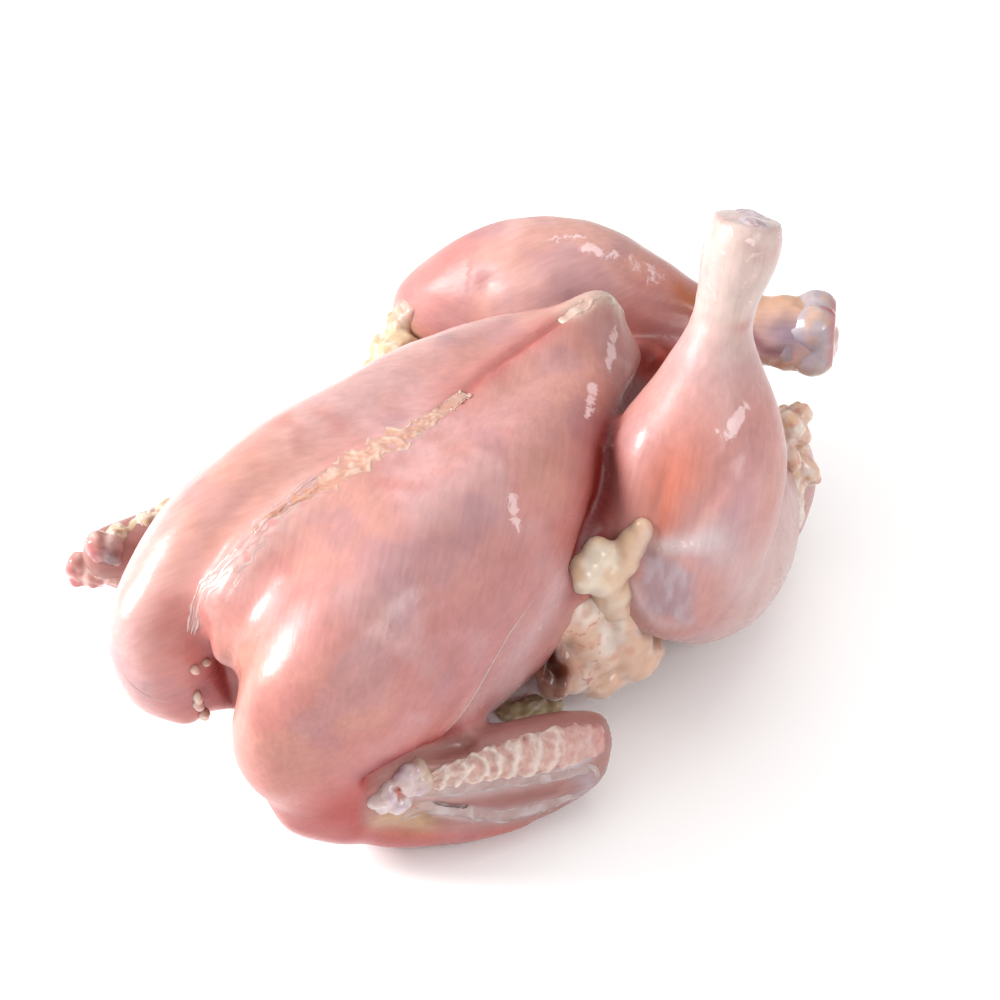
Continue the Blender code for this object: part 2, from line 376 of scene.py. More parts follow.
def sculpted(flesh):
    """Presses and raises the skin where muscles meet, and squares off the cut limbs."""
    points, normals = points_of(flesh), normals_of(flesh)
    lift = np.zeros(len(points))

    def ridge(high, path, width):
        """Raises the skin along a path, or presses a crease where high is negative."""
        lift[:] += high * near(points, path, width)

    # the crease along the keel where the two breasts meet, and the trough in front of it
    ridge(-1.6, ((2, -10, 97), (0, 10, 97), (0, 30, 97), (1, 50, 98)), 1.5)
    ridge(-1.2, ((-4, -50, 95), (-2, -25, 97), (0, 0, 97)), 5.5)
    ridge(2.0, ((-3, -70, 89), (-4, -82, 82), (-6, -89, 73)), 6.0)
    # the trough is drawn into lengthwise folds
    front = near(points, ((-5, -56, 93), (-2, -72, 89), (-4, -86, 79)), 7.0)
    lift += 0.5 * front * lumpy(points * (1.0, 0.16, 0.3), 2.6, 31)
    # the notch between the breasts at the neck
    ridge(4.0, ((0, -93, 62), (0, -93, 50), (0, -93, 38), (2, -92, 28)), 4.5)
    ridge(2.5, ((-13, -97, 58), (-13, -97, 46), (-13, -96, 34)), 5.0)
    ridge(-2.4, ((-4, -90, 62), (-6, -87, 50), (-6, -85, 38), (-6, -85, 28)), 2.4)
    # deep folds: breast against right leg, and breast against right wing
    ridge(-3.6, FOLD, 2.8)
    ridge(-3.4, ((45, -84, 38), (48, -75, 40), (50, -67, 39), (53, -57, 38)), 2.2)
    # breast and drumstick are never quite even
    lift += 0.9 * lumpy(points, 26, 1)
    lift += 0.25 * lumpy(points, 9, 2)
    # the fascia's edge on the right breast
    ridge(0.6, FLANK, 1.6)
    # the drumstick's muscles: shin, calf and the long outer one
    ridge(-1.4, ((58, 18, 104), (60, 14, 92), (61, 10, 79), (60, 6, 66)), 2.6)
    ridge(1.0, ((49, 20, 92), (51, 13, 80), (54, 8, 71)), 4.0)
    ridge(-1.2, ((74, 32, 98), (72, 18, 84), (69, 9, 71)), 2.6)
    ridge(0.8, ((79, 34, 96), (78, 24, 82), (75, 15, 68)), 5.0)
    ridge(-1.2, ((58, 5, 66), (70, 9, 66), (79, 19, 66)), 3.0)
    # the silver-skinned hollow below the knee, and the cords that frame it
    lift -= 1.9 * blob(points, (68, 7, 52), 9, 9, 12)
    ridge(0.9, ((58, 4, 54), (65, 5, 41), (72, 9, 39)), 1.5)
    ridge(0.9, ((70, 9, 66), (75, 12, 50), (73, 10, 39)), 1.6)
    # the left drumstick's long muscles
    ridge(-1.2, ((-44, 58, 80), (-20, 78, 78), (4, 96, 70)), 2.6)
    # the right forearm: a muscle below the skin band, a crease, and a muscle on the table
    ridge(-1.4, ((50, -72, 28), (56, -65, 27), (62, -55, 26), (69, -40, 22), (72, -30, 19)), 1.5)
    ridge(1.3, ((56, -64, 23), (62, -52, 19), (68, -40, 17)), 3.4)
    ridge(-1.8, ((49, -70, 22), (56, -61, 17), (62, -54, 13), (66, -48, 12), (71, -36, 11)), 1.5)
    ridge(0.9, ((52, -70, 15), (61, -57, 8), (66, -48, 7)), 3.0)
    lift -= 1.0 * blob(points, (72, -31, 18), 3, 2.5, 3)
    # the right hock widens towards its cut end
    end = step(points[:, 2], 112, 134) * (from_path(points, (RIGHT_KNEE, RIGHT_HOCK))[0] < 25)
    lift += 1.5 * end
    # wrinkles where the drumstick's flesh meets the bare hock
    wrinkle = near(points, ((45, 43, 119), (56, 45, 121), (64, 51, 121)), 6.0)
    wrinkle *= step(points[:, 2], 100, 112)
    lift += 0.45 * wrinkle * lumpy(points * (0.3, 0.3, 1.0), 1.9, 33)
    # torn skin and tendon ends round the left hock
    torn = step(points[:, 0], 12, 18) * step(points[:, 1], 94, 100) * step(points[:, 2], 42, 48)
    lift += 0.9 * torn * lumpy(points, 7, 51, 2)
    points += normals * lift[:, None]
    squared_end(points, RIGHT_HOCK, RIGHT_SHIN, 2.0, 0.92)
    squared_end(points, LEFT_HOCK, LEFT_SHIN, 6.5, 0.92)
    squared_end(points, RIGHT_WING[0], (0.3, 0.93, -0.2), 3.0, 0.85, 13)
    points[:, 2] = np.maximum(points[:, 2], 0)
    move_points(flesh, points)


def fibre_directions(flesh):
    """How the fibres run: out and forward from the keel on the breast, along the bone on the limbs.

    Gives back how far each point belongs to each of the limbs, fading across their borders.
    """
    points = points_of(flesh)
    limbs = (
        ((0, -90, 50), (0, 60, 60)),
        (RIGHT_KNEE, RIGHT_HOCK),
        (LEFT_KNEE, LEFT_HOCK),
        ((30, 85, 28), (58, 28, 38)),
        ((-30, 88, 28), (-60, 66, 52)),
        (RIGHT_WING[0], RIGHT_WING[-1]),
        (LEFT_WING[0], LEFT_WING[-1]),
    )
    reach = (46, 22, 22, 27, 25, 11, 11)
    scores = np.stack([from_path(points, limb)[0] / r for limb, r in zip(limbs, reach)])
    owner = scores.argmin(axis=0)
    grain = np.zeros_like(points)
    for i, (start, end) in enumerate(limbs):
        mine = owner == i
        way = unit(np.array(end, float) - np.array(start, float))
        if i == 0:
            side = np.where(points[mine, 0] < 0, -1.0, 1.0)
            ways = np.tile((0.5, -0.8, -0.33), (len(side), 1))
            ways[:, 0] *= side
            ways /= np.linalg.norm(ways, axis=1)[:, None]
        else:
            ways = np.tile(way, (mine.sum(), 1))
        along = (points[mine] * ways).sum(axis=1)
        rest = points[mine] - along[:, None] * ways
        grain[mine] = rest / FIBRE_WIDTH + ways * (along / FIBRE_LENGTH)[:, None]
    store(flesh, "fibre", grain)
    shares = []
    for i, score in enumerate(scores):
        others = np.delete(scores, i, axis=0).min(axis=0)
        shares.append(step(others - score, -0.22, 0.22))
    return shares


def coloured_flesh(flesh):
    """Washes of colour: painted light paling the breast's top and left lobe, painted shade darkening
    the folds, the notch, the low breast and the flesh at the table, and redder on working muscles
    and low on the breast.
    """
    tint = Tint(flesh, "#d08d87")
    p = tint.points
    breast, leg, far, right_thigh, _, right_wing, left_wing = fibre_directions(flesh)
    drift = lumpy(p, 30, 5, 3)
    other = lumpy(p, 22, 15, 3)
    # breast
    # painted light: the breast paler towards its top and over the left lobe
    tint.wash("#e3b4ae", 0.5 * step(p[:, 2], 60, 98) * breast)
    tint.wash("#ecc6bf", 0.6 * step(-p[:, 0], 6, 24) * breast)
    tint.wash("#dba394", 0.55 * step(drift, 0.0, 0.5))
    tint.wash("#e4bcbc", 0.5 * step(-drift, 0.05, 0.5))
    tint.wash("#b98f99", 0.4 * step(other, 0.15, 0.6))
    tint.wash("#c97f78", 0.5 * step(-other, 0.2, 0.7))
    tint.spot("#e0a290", 0.6, (16, -92, 66), 16, 12, 12)
    tint.spot("#e0a290", 0.6, (-24, -60, 84), 12, 26, 12)
    tint.spot("#b8838d", 0.5, (44, -44, 60), 12, 24, 20)
    # redder and darker low on the breast: partly the flesh's own redder tone, partly painted shade
    tint.wash("#ba5652", 0.65 * step(-p[:, 2], -54, -14) * breast)
    tint.spot("#b03c3a", 0.85, (42, -90, 24), 24, 20, 22)
    tint.spot("#c9625f", 0.5, (-18, -98, 34), 20, 12, 14)
    # painted shade: redder and darker along the fold above the right wing
    tint.along("#c25c58", 0.6, ((45, -84, 36), (49, -70, 38), (54, -56, 40)), 9)
    # the trough over the keel, and the pale tip of the keel
    tint.along("#e6c0bb", 0.8, TROUGH, 5.5)
    redder = step(lumpy(p, 3, 22), 0, 0.4)
    tint.along("#d58d86", 0.6 * redder, TROUGH, 5)
    broken = 0.65 + 0.35 * step(lumpy(p, 4, 25), -0.4, 0.2)
    tint.along("#a83e3e", 0.9 * broken, ((2, -12, 94.6), (1, 4, 95), (0, 20, 95), (1, 44, 96)), 2.4)
    tint.along("#cf8780", 0.6, ((-1, -4, 95), (-1, 20, 95), (0, 38, 96)), 6.0)
    tint.along("#f3d2c2", 0.9, ((0, 46, 98), (1, 58, 97), (4, 64, 90), (6, 68, 80)), 4.5)
    tint.along("#d9c2a6", 0.6, ((6, 66, 86), (12, 64, 76), (20, 58, 72)), 3.5)
    # the notch at the neck: redder flesh, and painted shade along its crease
    tint.along("#c45a5a", 0.8, ((-9, -90, 62), (-9, -89, 50), (-9, -88, 38)), 6)
    tint.along("#8e2d2c", 0.9, ((-3, -90, 62), (-5, -87, 50), (-6, -85, 38), (-6, -85, 26)), 3.2)
    # painted shade: the folds between breast and right leg and between breast and wing, and the gap
    # under the left leg behind the keel's tip, darkened
    deep = np.array(FOLD) - (0, 0, 2)
    tint.along("#a63f35", 0.85, deep, 11.0)
    tint.along("#6e100c", 0.98, deep, 6.0)
    tint.along("#8f2029", 0.9,
               ((45, -86, 42), (47, -81, 44), (49, -74, 43), (50, -66, 42), (51, -58, 41)), 3.0)
    tint.along("#8a3a30", 0.85, ((20, 64, 66), (12, 74, 66), (4, 86, 63), (-6, 92, 60)), 8.0)
    # the milky flank behind the edge of fascia
    tint.along("#dcb4b4", 0.7, ((51, -52, 46), (53, -38, 52), (53, -24, 60), (51, -18, 66)), 6.5)
    # right drumstick
    tint.wash("#dfaaa2", 0.6 * leg)
    tint.along("#d2806c", 0.85 * leg, ((61, 18, 91), (61, 13, 84), (63, 10, 77)), 8.0)
    tint.along("#dd9c92", 0.5 * leg, ((56, 26, 106), (60, 22, 98)), 9)
    tint.along("#c9a1ab", 0.55 * leg, ((48, 22, 90), (49, 24, 80), (50, 16, 70)), 6)
    tint.along("#c9a6b4", 0.5 * leg, ((80, 34, 98), (81, 26, 84), (78, 18, 72)), 8)
    tint.wash("#d9b9b8", 0.6 * leg * step(p[:, 2], 96, 112))
    sock = step(p[:, 2] + 3.0 * lumpy(p, 8, 21, 2), 108, 124) * leg
    tint.wash("#e6d0c8", 0.9 * sock)
    tint.mottle("#dcb3b0", 0.5 * sock, 9, 23, 0.05, 0.5)
    tint.along("#c98a82", 0.6 * leg, ((46, 43, 117), (56, 45, 119), (65, 52, 119)), 2.0)
    # tendon, right thigh, and the silver skin below the knee
    tint.wash("#dfbcb8", 0.75 * right_thigh)
    tint.along("#e3c4aa", 0.45, ((73, 18, 80), (72, 13, 74), (71, 9, 68)), 1.8)
    tint.along("#ecdfe0", 0.85, ((60, 6, 67), (65, 8, 69), (70, 12, 71), (75, 17, 73)), 3.4)
    tint.along("#e3c9c9", 0.6, ((75, 17, 72), (78, 23, 64), (78, 26, 54)), 7.0)
    across = p @ (0.74, 0.67, 0) + 1.5 * lumpy(p, 6, 61, 2)
    high = p[:, 2] + 0.35 * (across - 56) + 1.5 * lumpy(p, 6, 62, 2)
    silver = step(across, 46.5, 50) * step(-across, -66, -60)
    silver *= step(high, 43, 48) * step(-high, -67, -63) * step(p[:, 0] - 0.5 * p[:, 1], 44, 52)
    tint.wash("#c3a6ae", 0.8 * silver)
    tint.wash("#dccbd0", 0.6 * silver * step(lumpy(p * (1, 1, 0.3), 3.4, 63, 2), 0.0, 0.5))
    tint.along("#e2cccf", 0.5, ((58, 4, 56), (60, 5, 48), (66, 8, 42), (73, 12, 43)), 2.4)
    tint.along("#c3a0ae", 0.6, ((56, 3, 36), (66, 6, 30), (76, 16, 32)), 6)
    # left leg
    tint.wash("#d69c98", 0.55 * far)
    tint.along("#a86a6e", 0.75 * far, ((-22, 76, 68), (4, 90, 64)), 11)
    tint.wash("#b0847f", 0.4 * far * step(other, -0.1, 0.5))
    tint.along("#b8643a", 0.85 * far, ((-1, 98, 76), (3, 100, 74), (10, 106, 68)), 5.5)
    shank = far * step(p[:, 0], 10, 17)
    tint.wash("#dcb6aa", 0.95 * shank)
    tint.wash("#e6b795", 0.7 * shank * step(p[:, 2], 66, 72))
    tint.spot("#a893a4", 0.9 * shank, (29, 113, 66), 8, 7, 6)
    tint.wash("#cf8f62", 0.85 * shank * step(-p[:, 2], -58, -50))
    tint.along("#8f5f6e", 0.8 * shank, ((18, 106, 66), (24, 108, 61), (30, 111, 60)), 2.0)
    low = step(-p[:, 2], -66, -52)
    tint.along("#e0c594", 0.9 * low, ((-68, 44, 52), (-70, 50, 62), (-66, 44, 44)), 9)
    # wings: greyish pink muscle under a thin milky membrane
    wings = np.maximum(right_wing, left_wing)
    tint.wash("#b07d76", 0.9 * wings)
    tint.along("#9c5f5a", 0.6, ((52, -70, 22), (58, -61, 20), (64, -51, 18), (69, -40, 17)), 3.0)
    tint.along("#d6c2c4", 0.8 * wings,
               ((49, -70, 23), (56, -62, 17), (62, -54, 13), (69, -42, 12)), 2.4)
    tint.along("#d9c6c6", 0.85 * wings,
               ((50, -72, 28), (58, -62, 26), (69, -40, 23), (73, -29, 24)), 2.4)
    tint.along("#c9bcc4", 0.7 * wings, ((72, -34, 22), (73, -28, 12), (72, -34, 10)), 3)
    tint.along("#e0bd98", 0.7, ((44, -80, 22), (50, -72, 17)), 4)
    tint.along("#c4705a", 0.8, ((46, -80, 15), (52, -71, 12)), 1.8)
    # painted shade: the flesh is darker where it meets the table
    tint.wash("#b0625a", 0.6 * step(-p[:, 2], -7, -1))
    # where fascia was left behind, and painted highlights on the right breast, by the keel's tip and
    # on the right drumstick
    fascia_and_highlight = 0.40 * step(p[:, 2], 118, 126) * leg + 0.30 * blob(p, (10, -84, 72), 12, 8, 8)
    for share, width, path in (
        # partly fascia, partly painted highlight: two flakes on the right breast and the bar by the
        # keel's tip
        (0.64, 3.2, ((38, -22, 91), (41, -25, 88), (43, -25, 86))),
        (0.62, 3.0, ((30, 18, 92), (27, 23, 92), (23, 28, 92))),
        (0.64, 2.6, ((5, 57, 91), (10, 52, 90), (15, 45, 89), (19, 38, 89))),
        (0.52, 7.0, ((-33, 77, 92), (-20, 85, 90), (-6, 94, 82))),
        # painted highlight: the pale patch on the right drumstick
        (0.64, 4.0, ((69, 37, 103), (68, 29, 98))),
        (0.42, 5.0, ((-5, -54, 94), (-2, -72, 90), (-4, -86, 79))),
        (0.44, 3.6, ((61, 7, 67), (69, 12, 71), (76, 19, 72))),
        (0.36, 6.0, ((51, -52, 46), (53, -38, 52), (53, -24, 60))),
    ):
        fascia_and_highlight += share * near(p, path, width)
    store(flesh, "fascia_and_highlight", fascia_and_highlight)
    # where the surface has dried a little the juice gives no crisp light
    wet = 0.9 + 0.5 * lumpy(p, 14, 41, 2)
    wet -= 0.9 * near(p, ((46, 40, 118), (48, 30, 108), (50, 24, 100)), 14)
    wet -= 0.9 * near(p, ((-60, 50, 74), (-40, 60, 82), (-10, 80, 84)), 16)
    wet += 0.6 * near(p, ((49, 20, 92), (51, 13, 80), (54, 8, 71)), 6)
    wet -= 1.5 * near(p, deep, 5)
    wet -= 0.5 * step(-p[:, 0], 30, 44) + 0.4 * lumpy(p, 30, 43, 2)
    store(flesh, "wet", np.clip(wet, 0, 1))
    tint.finish(skinned_muscle(), vivid=1.16)


flesh = flesh_from_frame()
sculpted(flesh)
coloured_flesh(flesh)


# ---------------------------------------------------------------- pieces laid on the flesh

SKIN = BVHTree.FromPolygons([tuple(p) for p in points_of(flesh)],
                            [tuple(f.vertices) for f in flesh.data.polygons])


def on_flesh(point):
    """The nearest place on the flesh, and which way is out there."""
    place, out, _, _ = SKIN.find_nearest(Vector(point))
    return np.array(place), np.array(out)


def evenly(path, count):
    """Evenly spaced points on a smooth curve through the path; rows keep their extra columns."""
    path = np.array(path, float)
    ends = np.vstack([2 * path[0] - path[1], path, 2 * path[-1] - path[-2]])
    fine = []
    for a, b, c, d in zip(ends, ends[1:], ends[2:], ends[3:]):
        for t in np.linspace(0, 1, 12, endpoint=False):
            fine.append(0.5 * (2 * b + (c - a) * t + (2 * a - 5 * b + 4 * c - d) * t ** 2
                               + (3 * b - a - 3 * c + d) * t ** 3))
    fine.append(path[-1])
    fine = np.array(fine)
    gone = np.concatenate([[0], np.cumsum(np.linalg.norm(np.diff(fine[:, :3], axis=0), axis=1))])
    wanted = np.linspace(0, gone[-1], count)
    return np.stack([np.interp(wanted, gone, fine[:, k]) for k in range(fine.shape[1])], axis=1)


def strip(name, path, rise, across=16, spacing=0.9, height=None, thick=1.2, frayed=0.15):
    """A flat strip laid along the flesh. Each row of the path is x, y, z and half the strip's width.

    height(along, side) gives what to add to the domed top, for along from 0 to 1 and side from
    -1 to 1. frayed is how unevenly the edges run, as a share of the width.
    """
    length = np.linalg.norm(np.diff(np.array(path, float)[:, :3], axis=0), axis=1).sum()
    rows = evenly(path, max(8, int(length / spacing)))
    count = len(rows)
    bpy.ops.mesh.primitive_grid_add(x_subdivisions=count - 1, y_subdivisions=across, size=2)
    obj = bpy.context.object
    obj.name = obj.data.name = name
    flat = points_of(obj) * MM
    ways = np.gradient(rows[:, :3], axis=0)
    outs = [on_flesh(row[:3])[1] for row in rows]
    outs = [sum(outs[max(0, i - 3):i + 4]) for i in range(count)]
    made = np.zeros_like(flat)
    relief = np.zeros(len(flat))
    for k, (u, side, _) in enumerate(flat):
        i = int(round((u + 1) / 2 * (count - 1)))
        out = unit(outs[i])
        beside = unit(np.cross(ways[i], out))
        ragged = 1 + frayed * noise.noise(Vector((i * spacing / 3, 7 * (side > 0), rise)))
        place, up = on_flesh(rows[i, :3] + beside * rows[i, 3] * side * ragged + out * 1.5)
        end = min(i, count - 1 - i) / 4
        dome = max(0.0, 1 - side ** 2) ** 0.55 * min(1.0, end) ** 0.5
        extra = height(i / (count - 1), side) if height else 0.0
        made[k] = place + up * (rise * dome + extra * min(1.0, 3 * dome) - SINK)
        relief[k] = extra
    move_points(obj, made)
    store(obj, "relief", relief)
    alone(obj)
    outward = normals_of(obj)
    middle = len(made) // 2
    if np.dot(outward[middle], on_flesh(made[middle])[1]) < 0:
        bpy.ops.object.mode_set(mode="EDIT")
        bpy.ops.mesh.select_all(action="SELECT")
        bpy.ops.mesh.flip_normals()
        bpy.ops.object.mode_set(mode="OBJECT")
    shaped(obj, "SOLIDIFY", thickness=thick * MM, offset=-1)
    shaped(obj, "SUBSURF", levels=1, render_levels=1)
    return obj


def relief_of(obj):
    """What the strip's height function added at each point."""
    values = np.empty(len(obj.data.vertices), np.float32)
    obj.data.attributes["relief"].data.foreach_get("value", values)
    return values.astype(float)


def lumps(name, balls, voxel=0.7, smoothing=3, coarse=(0, 4), fine=(0, 1.5), seed=0):
    """Balls added at their places and sizes, joined under one skin and made uneven."""
    made = []
    for x, y, z, *radii in balls:
        radii = radii * 3 if len(radii) == 1 else radii
        bpy.ops.mesh.primitive_uv_sphere_add(segments=24, ring_count=14, radius=MM,
                                             location=(x * MM, y * MM, z * MM), scale=radii)
        made.append(bpy.context.object)
    obj = joined(made, name)
    bpy.ops.object.transform_apply(location=True, rotation=True, scale=True)
    shaped(obj, "REMESH", mode="VOXEL", voxel_size=voxel * MM)
    shaped(obj, "SMOOTH", factor=0.5, iterations=smoothing)
    points, normals = points_of(obj), normals_of(obj)
    lift = coarse[0] * lumpy(points, coarse[1], seed, 2) + fine[0] * lumpy(points, fine[1], seed + 1)
    points += normals * lift[:, None]
    points[:, 2] = np.maximum(points[:, 2], 0.05)
    move_points(obj, points)
    return obj


def strands(name, lines):
    """Fine threads of fascia, thin at both ends. A line is its thickness and then its points."""
    data = bpy.data.curves.new(name, "CURVE")
    data.dimensions = "3D"
    data.bevel_depth = MM
    data.bevel_resolution = 2
    for thickness, *path in lines:
        rows = evenly(path, 22)
        spline = data.splines.new("POLY")
        spline.points.add(len(rows) - 1)
        for i, row in enumerate(rows):
            place, out = on_flesh(row)
            wander = 0.25 * noise.noise(Vector(row) / 4)
            place = place - out * 0.45 * thickness
            place += np.cross(out, rows[-1] - rows[0]) * 0.004 * wander
            spline.points[i].co = (*(place * MM), 1)
            swell = math.sin(math.pi * i / (len(rows) - 1)) ** 0.6
            spline.points[i].radius = thickness * (0.12 + swell)
    obj = bpy.data.objects.new(name, data)
    bpy.context.scene.collection.objects.link(obj)
    alone(obj)
    bpy.ops.object.convert(target="MESH")
    return bpy.context.object


FAT = soft_tissue("chicken_fat_chilled", 5, 0.3, 0.3, 0.9, (1.0, 0.62, 0.35))
CARTILAGE = soft_tissue("joint_cartilage_wet", 4, 0.2, 0.25, 0.7, (1.0, 0.7, 0.6))
WING_SKIN = soft_tissue("wing_skin_plucked", 2.2, 0.35, 0.4, 0.4, (1.0, 0.6, 0.4))
FASCIA = soft_tissue("fascia_wet", 3.0, 0.12, 0.26, 0.7, (1.0, 0.6, 0.5))


def keel_membrane():
    """The thin wet membrane in the trough before the keel, in folds that gather at the neck."""
    path = ((-5, -46, 95, 1.0), (-5, -56, 93, 3.6), (-4, -67, 91, 5.2), (-4, -77, 87, 5.6),
            (-6, -85, 80, 5.0), (-9, -90, 71, 3.4), (-11, -94, 63, 1.4))

    def height(along, side):
        wave = 1.3 * noise.noise(Vector((along * 4, side * 0.7, 3)))
        fold = abs(math.sin(5.2 * side + 2.0 * wave))
        uneven = noise.noise(Vector((along * 9, side * 6, 1)))
        uneven += 0.5 * noise.noise(Vector((along * 26, side * 7, 5)))
        return 0.14 * (1 - fold) ** 0.8 + 0.22 * uneven

    obj = strip("keel_membrane", path, 0.35, across=30, spacing=0.6, height=height, frayed=0.5)
    tint, relief = Tint(obj, "#dba59e"), relief_of(obj)
    tint.wash("#eccbc5", 0.7 * step(relief, 0.0, 0.22))
    tint.wash("#cc8780", 0.5 * step(-relief, 0.0, 0.15))
    tint.finish(FASCIA)


def keel_fat():
    """The beige strip of fat left over the keel bone, wrinkled and ragged at its edges."""
    path = ((-5, -75, 87, 0.8), (-4, -66, 91, 1.8), (-3, -58, 93, 3.2), (-1.5, -48, 95, 5.0),
            (0, -38, 96, 6.2), (1, -27, 96, 5.6), (2, -16, 97, 3.8), (2, -7, 97, 2.0),
            (1.5, 0, 97, 0.8))

    def height(along, side):
        spot = Vector((along * 26, side * 1.6, 0))
        return 0.35 * noise.noise(spot) + 0.25 * noise.noise(spot * 2.3 + Vector((5, 0, 0)))

    obj = strip("keel_fat", path, 0.55, across=26, spacing=0.5, height=height, frayed=0.6)
    tint, relief = Tint(obj, "#e0a891"), relief_of(obj)
    p = tint.points
    tint.wash("#f0cdba", 0.85 * step(relief, -0.08, 0.2))
    tint.wash("#cf8a82", 0.7 * step(-relief, 0.08, 0.3))
    tint.along("#dd957c", 0.75, ((-5, -66, 91), (-4.5, -55, 94)), 6)
    tint.along("#c98a86", 0.7, ((-8, -50, 95), (-7.5, -38, 96), (-6, -26, 96), (-3, -12, 97)), 1.8)
    tint.wash("#d9a79c", 0.5 * step(p[:, 1], -16, 0))
    tint.spot("#c9463e", 0.95, (2.0, -22, 97), 1.3)
    tint.spot("#c9635a", 0.7, (-1, -9, 97), 2.4)
    tint.finish(FAT)


def keel_tip():
    """The pale gristle at the tail end of the keel, smeared down the edge of the breast."""
    path = ((-0.5, 40, 98, 0.8), (0.5, 48, 98, 2.0), (1.5, 56, 97, 3.2), (3, 62, 92, 3.6),
            (5, 66, 86, 3.0), (7, 68, 79, 1.6))

    def height(along, side):
        spot = Vector((along * 9, side * 1.3, 4))
        return 0.5 * noise.noise(spot) + 0.25 * noise.noise(spot * 2.6) - 0.1

    obj = strip("keel_gristle", path, 0.6, across=14, spacing=0.6, height=height, frayed=0.5)
    tint, relief = Tint(obj, "#eec6b6"), relief_of(obj)
    tint.wash("#f6dccc", 0.8 * step(relief, -0.1, 0.25))
    tint.wash("#dfa294", 0.6 * step(-relief, 0.2, 0.5))
    tint.finish(FAT)


def fascia():
    """Torn edges of fascia: along the right breast's flank, and by the neck on the left breast."""
    obj = strands("torn_fascia", (
        (0.35, *FLANK),
        (0.25, (-22, -106, 54), (-18, -104, 48), (-14, -100, 44)),
    ))
    Tint(obj, "#dfb7b1").finish(FASCIA)


def neck_beads():
    """Small beads of fat on the left side of the notch at the neck."""
    balls = []
    for x, y, z, *radii in (
        (-11, -96, 55, 1.9, 1.3, 1.4), (-8, -93, 56, 1.5, 1.3, 1.1), (-12, -96, 44, 1.6, 1.3, 2.4),
        (-12, -96, 41, 1.9, 1.5, 2.2), (-9, -94, 35, 2.2, 1.5, 1.4), (-8, -94, 33, 2, 1.4, 1.3),
    ):
        place, out = on_flesh((x, y, z))
        balls.append((*(place + out * 0.4), *radii))
    obj = lumps("neck_fat_beads", balls, voxel=0.35, smoothing=4, coarse=(0.2, 2.0))
    tint = Tint(obj, "#e8bfae")
    tint.wash("#f4e0d0", 0.8 * step(lumpy(tint.points, 2.4, 9), -0.1, 0.4))
    tint.finish(FAT)


def fold_fat():
    """The cream lobe of fat where breast and right leg meet, and the veined flap of fat below it."""
    lobe = lumps("fold_fat", (
        (49, -6, 61, 6, 6, 6), (50, -1, 65, 5, 5, 5.5), (51.5, 0, 58, 7, 6.5, 7),
        (52, 3, 51, 6.5, 6, 7.5), (54, 4.5, 62, 5.5, 4.5, 6), (56, 6, 68, 4.5, 4.5, 5.5),
        (58, 8, 72, 3.5, 3.5, 5), (52, 4, 45, 6, 5, 6),
    ), voxel=0.7, smoothing=26, coarse=(0.5, 12), fine=(0.25, 5), seed=2)
    tint = Tint(lobe, "#f5cfae")
    p = tint.points
    tint.mottle("#ffeeda", 0.8, 9, 3, -0.2, 0.35)
    tint.wash("#ebc1a6", 0.6 * step(-p[:, 2], -54, -44))
    tint.wash("#e3bfba", 0.6 * step(p[:, 0], 57, 62))
    tint.along("#b9604a", 0.7, ((46, -12, 58), (45, -7, 53)), 2.2)
    tint.finish(FAT)
    flap = lumps("belly_fat_flap", (
        (46, -9, 51, 5, 6, 7), (45, -13, 45, 5, 6, 7), (45, -15, 38, 4.5, 5, 7),
        (48, -5, 43, 6, 8, 9),
        (49, -3, 35, 6, 8, 9), (47, -11, 30, 5, 6, 7), (50, 1, 28, 6, 8, 8), (48, -5, 23, 6, 8, 7),
        (45, -10, 23, 5, 6, 6), (47, -17, 34, 4, 4.5, 9), (47.5, -15, 26, 4.5, 5, 7),
        (53, 7, 38, 6, 7, 9), (54, 10, 28, 6, 8, 8), (50, 4, 17, 7, 9, 6), (54, 13, 20, 7, 10, 7),
    ), voxel=0.7, smoothing=22, coarse=(0.8, 11), fine=(0.35, 4), seed=5)
    points, normals = points_of(flap), normals_of(flap)
    hole = ((50.5, -20, 37), (51.5, -19, 31))
    brim = ((52, -17, 40), (53, -16, 33), (51, -16, 25))
    points -= normals * (6.0 * near(points, hole, 3.4))[:, None]
    points += normals * (1.6 * near(points, brim, 2.0))[:, None]
    points[:, 2] = np.maximum(points[:, 2], 0.05)
    move_points(flap, points)
    tint = Tint(flap, "#f8cbb0")
    p = tint.points
    tint.mottle("#ffecdf", 0.85, 9, 7, -0.25, 0.35)
    tint.mottle("#e3a08c", 0.5, 5, 17, 0.2, 0.6)
    vein = 1 - np.abs(lumpy(p, 7, 8, 2)) / 0.05
    tint.wash("#b4493c", 0.7 * step(vein, 0.0, 1.0) * step(-p[:, 1], -2, 6))
    hole = np.array(hole) - (1.5, -1.5, 0)
    # the hole: an orange rim, dark red inside, and painted shade, near black, at its depth
    tint.along("#d0703f", 0.9, hole, 7.5)
    tint.along("#7a2114", 0.95, hole, 5.0)
    tint.along("#240302", 1.0, hole, 3.8)
    tint.finish(FAT)


def rump_fat():
    """Gathered folds of fat beside the tail."""
    rng = np.random.default_rng(4)
    balls = [(40, 94, 42, 8, 8, 10), (45, 90, 32, 9, 9, 11), (48, 86, 24, 9, 9, 10),
             (46, 86, 14, 9, 9, 9)]
    for share in np.linspace(0, 1, 46):
        out = 42 + 4.0 * math.sin(math.pi * share) + rng.uniform(-4, 6)
        balls.append((out, 95 + rng.uniform(-7, 3), 6 + 48 * share, *rng.uniform(2.4, 4.8, 3)))
    obj = lumps("rump_fat", balls, voxel=0.6, smoothing=7,
                coarse=(0.9, 4), fine=(0.15, 2.0), seed=11)
    tint = Tint(obj, "#f8d0ba")
    p = tint.points
    tint.mottle("#fff0e4", 0.85, 4, 3, -0.2, 0.3)
    tint.mottle("#f7c48c", 0.5 * step(p[:, 2], 20, 44), 7, 6, 0.15, 0.5)
    tint.mottle("#e9a9a2", 0.6, 3, 8, 0.2, 0.5)
    tint.finish(FAT)


